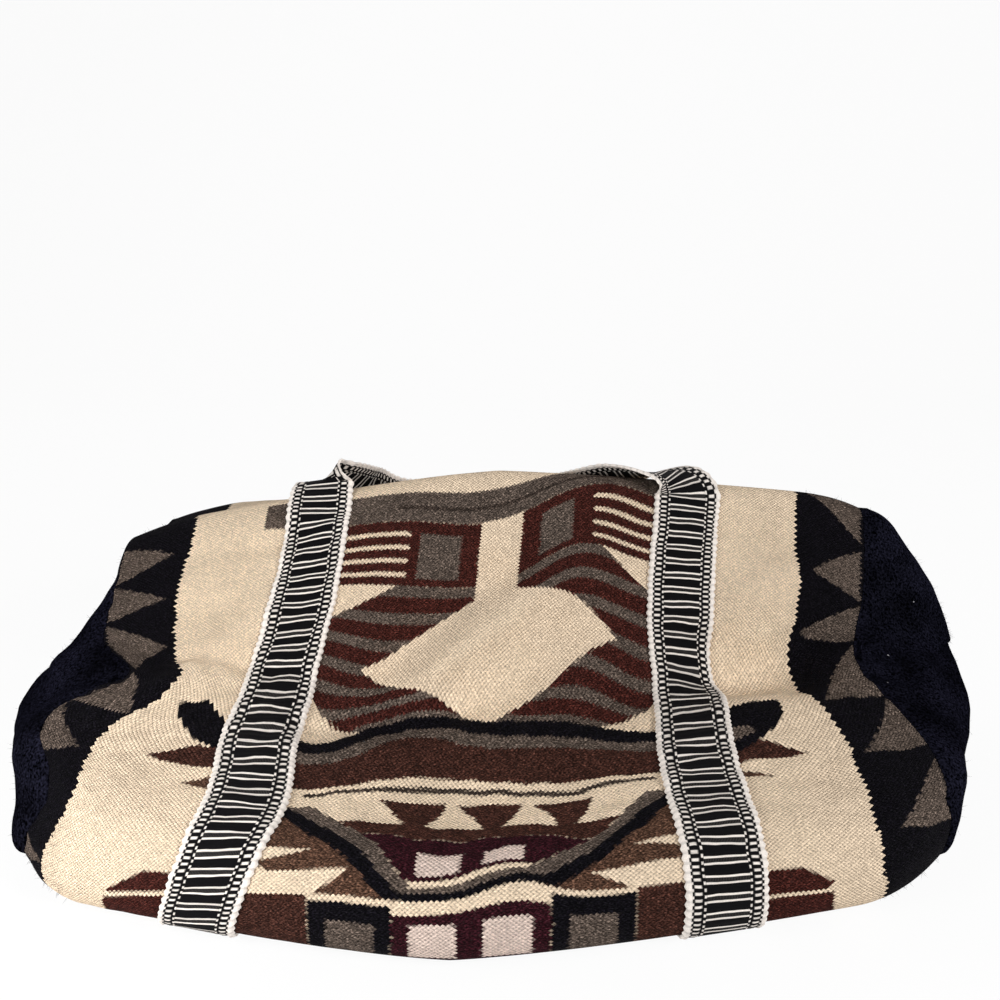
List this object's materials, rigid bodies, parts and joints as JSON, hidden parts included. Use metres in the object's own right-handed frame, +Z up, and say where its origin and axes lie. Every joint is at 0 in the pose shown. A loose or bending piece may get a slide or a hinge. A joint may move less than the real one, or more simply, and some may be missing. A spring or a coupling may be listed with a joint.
{
  "type": "woven wool duffel bag",
  "caption": "Soft duffel bag of tapestry-woven wool with felted end panels, a top zip and webbing straps that wrap the barrel as carry handles, slumped on a table.",
  "frame": {"origin": "on the table, under the middle of the bag's box", "axes": "+X along the bag to its right end as seen from the front, +Y to the back, +Z up"},
  "size_m": [0.6314, 0.372, 0.2001],
  "materials": {
    "woven_wool": "weft-faced tapestry weave in undyed cream with maroon, brown, grey and black fields",
    "felt_wool": "dense brushed felt",
    "strap_webbing": "warp-faced band, black with white ladder rungs and corded edges",
    "zip_tape": "fine twill tape",
    "zip_metal": "aged satin",
    "slider_metal": "aged satin"
  },
  "bodies": {
    "bag": {"woven_barrel": "woven_wool", "end_panel_left": "felt_wool", "end_panel_right": "felt_wool", "front_strap": "strap_webbing", "back_strap": "strap_webbing", "zip_tape_front": "zip_tape", "zip_tape_back": "zip_tape", "zip_teeth_front": "zip_metal", "zip_teeth_back": "zip_metal", "zip_bottom_stop": "zip_metal", "zip_top_stop_front": "zip_metal", "zip_top_stop_back": "zip_metal"},
    "slider": {"zip_slider": "slider_metal"},
    "pull": {"zip_pull": "slider_metal"}
  },
  "joints": [
    {"name": "zip_slide", "type": "slide", "parent": "bag", "child": "slider", "axis": [1, 0, 0], "range_m": [-0.35, 0]},
    {"name": "pull_hinge", "type": "hinge", "parent": "slider", "child": "pull", "pos_m": [0.17205, 0.12803, 0.13885], "axis": [0, 1, 0], "range_deg": [0, 175]}
  ]
}
